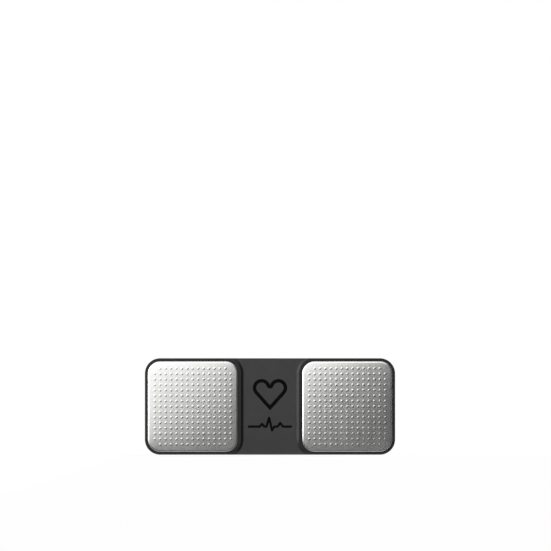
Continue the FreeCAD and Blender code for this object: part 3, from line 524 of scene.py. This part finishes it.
# ---- Electrodes --------------------------------------------------------------------------------
class Electrode:
    """The mesh of one electrode: a crowned face of dimples, a rolled edge, and its inner side."""

    def __init__(self, node):
        low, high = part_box(node)
        self.centre = Vector(((low.x + high.x) / 2, low.y + DIMPLE_HEIGHT, (low.z + high.z) / 2))
        self.half_u = (high.x - low.x) / 2
        self.half_v = (high.z - low.z) / 2
        self.depth = high.y - self.centre.y  # face to the lower edge of the roll
        self.columns = 1 + int((2 * self.half_u - 2 * DIMPLE_MARGIN) / DIMPLE_PITCH)
        self.rows = 1 + int((2 * self.half_v - 2 * DIMPLE_MARGIN) / DIMPLE_PITCH)
        self.mesh = bmesh.new()
        self.known = {}

    def crowned(self, u, v):
        """How far the face at this place lies behind its own middle."""
        fall = math.tan(math.radians(SHOULDER)) * self.half_u / SHOULDER_POWER
        return fall * ((u / self.half_u) ** SHOULDER_POWER + (v / self.half_v) ** SHOULDER_POWER)

    def vertex(self, u, v, y):
        return self.mesh.verts.new((u, y, v))

    def corner_of(self, column, row):
        """The shared vertex at a place on the lattice of the dimples' squares, flat on the face."""
        if (column, row) not in self.known:
            u = (column - self.columns * CELL_STEPS / 2) * DIMPLE_PITCH / CELL_STEPS
            v = (row - self.rows * CELL_STEPS / 2) * DIMPLE_PITCH / CELL_STEPS
            self.known[column, row] = self.vertex(u, v, self.crowned(u, v))
        return self.known[column, row]

    def square(self, column, row):
        """The vertices round one dimple's square, anticlockwise."""
        low_u, low_v = column * CELL_STEPS, row * CELL_STEPS
        steps = range(CELL_STEPS)
        places = [(low_u + k, low_v) for k in steps]
        places += [(low_u + CELL_STEPS, low_v + k) for k in steps]
        places += [(low_u + CELL_STEPS - k, low_v + CELL_STEPS) for k in steps]
        places += [(low_u, low_v + CELL_STEPS - k) for k in steps]
        return [self.corner_of(*place) for place in places]

    def band(self, outer, inner):
        """A closed band of quads between two loops of as many vertices."""
        for k, vertex in enumerate(outer):
            after = (k + 1) % len(outer)
            self.mesh.faces.new((vertex, outer[after], inner[after], inner[k]))

    def dimple(self, column, row):
        """A round dome that runs out softly into the sheet."""
        middle_u = (column + 0.5 - self.columns / 2) * DIMPLE_PITCH
        middle_v = (row + 0.5 - self.rows / 2) * DIMPLE_PITCH
        loop = self.square(column, row)
        angles = [math.atan2(v.co.z - middle_v, v.co.x - middle_u) for v in loop]
        for ring in range(-1, DIMPLE_RINGS):
            share = DIMPLE_SUPPORT if ring < 0 else 1 - ring / DIMPLE_RINGS
            rise = DIMPLE_HEIGHT * max(0.0, 1 - share**DOME_FULLNESS) ** DOME_FOOT
            inner = []
            for angle in angles:
                u = middle_u + DIMPLE_RADIUS * share * math.cos(angle)
                v = middle_v + DIMPLE_RADIUS * share * math.sin(angle)
                inner.append(self.vertex(u, v, self.crowned(u, v) - rise))
            self.band(loop, inner)
            loop = inner
        top = self.vertex(middle_u, middle_v, self.crowned(middle_u, middle_v) - DIMPLE_HEIGHT)
        for k, vertex in enumerate(loop):
            self.mesh.faces.new((vertex, loop[(k + 1) % len(loop)], top))

    def dimples(self):
        """All dimples but the one in each corner."""
        for column in range(self.columns):
            for row in range(self.rows):
                if column in (0, self.columns - 1) and row in (0, self.rows - 1):
                    continue
                self.dimple(column, row)

    def outline(self, inset, y=None):
        """Vertices along the outline, taken in by inset: on the crowned face, or at y."""
        radius = max(CORNER_RADIUS - inset, LEAST_RADIUS)
        across, up = self.half_u - inset - radius, self.half_v - inset - radius
        middles = ((across, up), (-across, up), (-across, -up), (across, -up))
        loop = []

        def on_corner(number, quarters):
            turn = math.radians(90 * quarters)
            middle_u, middle_v = middles[number % len(middles)]
            return middle_u + radius * math.cos(turn), middle_v + radius * math.sin(turn)

        def put(u, v):
            loop.append(self.vertex(u, v, self.crowned(u, v) if y is None else y))

        for corner in range(len(middles)):
            for step in range(CORNER_STEPS + 1):
                put(*on_corner(corner, corner + step / CORNER_STEPS))
            last = loop[-1].co
            goal_u, goal_v = on_corner(corner + 1, corner + 1)
            for step in range(1, SIDE_STEPS):
                u = last.x + (goal_u - last.x) * step / SIDE_STEPS
                v = last.z + (goal_v - last.z) * step / SIDE_STEPS
                put(u, v)
        return loop

    def border(self, flat):
        """Fills in between the dimples' squares and the loop where the roll starts."""
        edges = [e for e in self.mesh.edges if len(e.link_faces) == 1]
        ring = [self.mesh.edges.new((v, flat[(k + 1) % len(flat)])) for k, v in enumerate(flat)]
        bmesh.ops.triangle_fill(self.mesh, use_beauty=True, edges=edges + ring)

    def roll(self):
        """The sheet rolled over along the outline, and its inner side."""
        end = math.acos(1 - self.depth / ROLL_RADIUS)
        reach = ROLL_RADIUS * math.sin(end)
        loop = self.outline(reach + ROLL_SUPPORT)
        self.border(loop)
        for step in range(ROLL_STEPS + 1):
            angle = end * step / ROLL_STEPS
            inset = reach - ROLL_RADIUS * math.sin(angle)
            if step == ROLL_STEPS:
                outer = self.outline(0.0, y=self.depth)
            else:
                share = (1 - math.cos(angle)) / (1 - math.cos(end))
                outer = self.outline(inset)
                for vertex in outer:
                    vertex.co.y += share * (self.depth - vertex.co.y)
            self.band(outer, loop)
            loop = outer
        under = self.outline(SHEET, y=self.depth)
        self.band(under, loop)
        inner = self.outline(reach, y=SHEET)
        self.band(inner, under)
        self.mesh.faces.new(inner[::-1])

    def lean(self, data):
        """Leans the shading outwards, more towards the edge, as if the sheet bulged a little."""
        slope = math.tan(math.radians(PILLOW)) / self.half_u
        normals = []
        for corner, loop in zip(data.corner_normals, data.loops):
            normal, place = corner.vector, data.vertices[loop.vertex_index].co
            normals.append((normal + slope * (place - normal * normal.dot(place))).normalized())
        data.normals_split_custom_set(normals)

    def piece(self, name, node, material):
        """The finished electrode, in the place of its CAD node."""
        self.dimples()
        self.roll()
        bmesh.ops.recalc_face_normals(self.mesh, faces=self.mesh.faces)
        made = finished_piece(name, self.mesh, material)
        self.lean(made.data)
        made.location = self.centre
        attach(made, "casing")
        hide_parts(node)


def finished_piece(name, mesh, material):
    """An object of the finished mesh, smooth except where its faces meet at more than SHARP."""
    data = bpy.data.meshes.new(name)
    mesh.to_mesh(data)
    mesh.free()
    for polygon in data.polygons:
        polygon.use_smooth = True
    data.set_sharp_from_angle(angle=math.radians(SHARP))
    data.materials.append(material)
    made = bpy.data.objects.new(name, data)
    bpy.context.scene.collection.objects.link(made)
    return made


def electrodes():
    """Finer electrodes, in the place of the two solids."""
    steel = electrode_steel()
    for side in ("left", "right"):
        Electrode(f"electrode_{side}").piece(f"steel_electrode_{side}", f"electrode_{side}", steel)


# ---- Stage, light and camera -------------------------------------------------------------------
def plain(name, low, high, centre, material):
    """A flat stage rectangle: low and high are two of its sides, as vectors from its centre."""
    mesh = bmesh.new()
    signs = ((-1, -1), (1, -1), (1, 1), (-1, 1))
    corners = [Vector(centre) + a * Vector(low) + b * Vector(high) for a, b in signs]
    mesh.faces.new([mesh.verts.new(corner) for corner in corners])
    made = finished_piece(name, mesh, material)
    return made


def seen_rays(finish):
    """1 for what the camera, metal or glass shows, and 0 for the light on plain surfaces."""
    rays = finish.add("ShaderNodeLightPath")
    both = finish.calc("MAXIMUM", rays.outputs["Is Camera Ray"], rays.outputs["Is Glossy Ray"])
    return finish.calc("MAXIMUM", both, rays.outputs["Is Transmission Ray"])


def floor():
    """A pale floor that the camera, metal and glass see as nearly white, with the shadow on it."""
    finish = Finish("floor_white", Roughness=FLOOR_ROUGHNESS)
    finish.colour(FLOOR_COLOUR)
    white = finish.add("ShaderNodeEmission")
    white.inputs["Strength"].default_value = FLOOR_WHITE
    blend = finish.add("ShaderNodeMixShader")
    finish.put(finish.calc("MULTIPLY", seen_rays(finish), FLOOR_WHITE_SHARE), blend.inputs["Fac"])
    finish.links.new(finish.shader.outputs["BSDF"], blend.inputs[1])
    finish.links.new(white.outputs["Emission"], blend.inputs[2])
    output = finish.nodes["Material Output"]
    finish.links.new(blend.outputs["Shader"], output.inputs["Surface"])
    half = FLOOR_SIZE / 2
    plain("floor", (half, 0, 0), (0, half, 0), (0, 0, 0), finish.material)


def world():
    """White to the camera, metal and glass, and WORLD_LEVEL as light on plain surfaces."""
    made = bpy.data.worlds.new("studio")
    bpy.context.scene.world = made
    made.use_nodes = True
    nodes, links = made.node_tree.nodes, made.node_tree.links
    background = nodes["Background"]
    rays = nodes.new("ShaderNodeLightPath")
    seen = rays.outputs["Is Camera Ray"]
    for other in ("Is Glossy Ray", "Is Transmission Ray"):
        most = nodes.new("ShaderNodeMath")
        most.operation = "MAXIMUM"
        links.new(seen, most.inputs[0])
        links.new(rays.outputs[other], most.inputs[1])
        seen = most.outputs["Value"]
    level = nodes.new("ShaderNodeMapRange")
    level.inputs["To Min"].default_value = WORLD_LEVEL
    level.inputs["To Max"].default_value = 1.0
    links.new(seen, level.inputs["Value"])
    background.inputs["Color"].default_value = WHITE
    links.new(level.outputs["Result"], background.inputs["Strength"])


def sun(name, source, spread, strength):
    """A distant soft light, which lights the floor evenly as far as it goes."""
    data = bpy.data.lights.new(name, "SUN")
    data.angle = math.radians(spread)
    data.energy = strength
    made = bpy.data.objects.new(name, data)
    bpy.context.scene.collection.objects.link(made)
    made.rotation_euler = (-Vector(source)).to_track_quat("-Z", "Y").to_euler()


def flag(name, along, across, centre, tone):
    """A dark or grey card that only shows in metal and gloss, as the flags of a photo studio do."""
    finish = Finish(name + "_felt", Roughness=1.0, Specular_IOR_Level=0.0)
    finish.colour((tone, tone, tone, 1.0))
    card = plain(name, along, across, centre, finish.material)
    card.visible_camera = False
    card.visible_diffuse = False
    card.visible_shadow = False


def lights(middle):
    """Three soft suns, and the cards that give the steel its gradient."""
    sun("key", KEY_FROM, KEY_SPREAD, KEY_STRENGTH)
    sun("front", FRONT_FROM, FRONT_SPREAD, FRONT_STRENGTH)
    sun("back", BACK_FROM, BACK_SPREAD, BACK_STRENGTH)
    near, far = (Vector((aside / 2, y, -aside / 2)) for aside, y in (FLAG_NEAR, FLAG_FAR))
    across = Vector((1, 0, 1)).normalized() * FLAG_REACH
    flag("flag_right", (far - near) / 2, across, middle + (near + far) / 2, FLAG_TONE)
    aside = FLOOR_FLAG_REACH - FLOOR_FLAG_LEFT
    for name, start, end, tone in (
        ("flag_floor_near", FLOOR_FLAG_NEAR, FLOOR_FLAG_SPLIT, FLOOR_CARD_TONE),
        ("flag_floor_far", FLOOR_FLAG_SPLIT, FLOOR_FLAG_FAR, FLOOR_FLAG_TONE),
    ):
        centre = Vector((aside, (start + end) / 2, FLAG_ABOVE_FLOOR))
        flag(name, (FLOOR_FLAG_REACH, 0, 0), (0, (end - start) / 2, 0), centre, tone)


def camera(middle):
    """In front of the monitor's middle, at its height, and aimed above it as in the photo."""
    data = bpy.data.cameras.new("camera")
    data.sensor_width = SENSOR_WIDTH
    data.lens = SENSOR_WIDTH * CAMERA_DISTANCE / FRAME_WIDTH
    made = bpy.data.objects.new("camera", data)
    bpy.context.scene.collection.objects.link(made)
    made.location = middle + Vector((RIGHT_OF_CENTRE, -CAMERA_DISTANCE, 0))
    aim = middle + Vector((RIGHT_OF_CENTRE, 0, ABOVE_CENTRE))
    made.rotation_euler = (aim - made.location).to_track_quat("-Z", "Y").to_euler()
    data.clip_end = CAMERA_REACH
    bpy.context.scene.camera = made


middle = (CAD_BOX[0] + CAD_BOX[1]) / 2
bpy.context.scene.view_settings.view_transform = "Standard"
camera(middle)
world()
floor()
lights(middle)
dress_nodes()
electrodes()
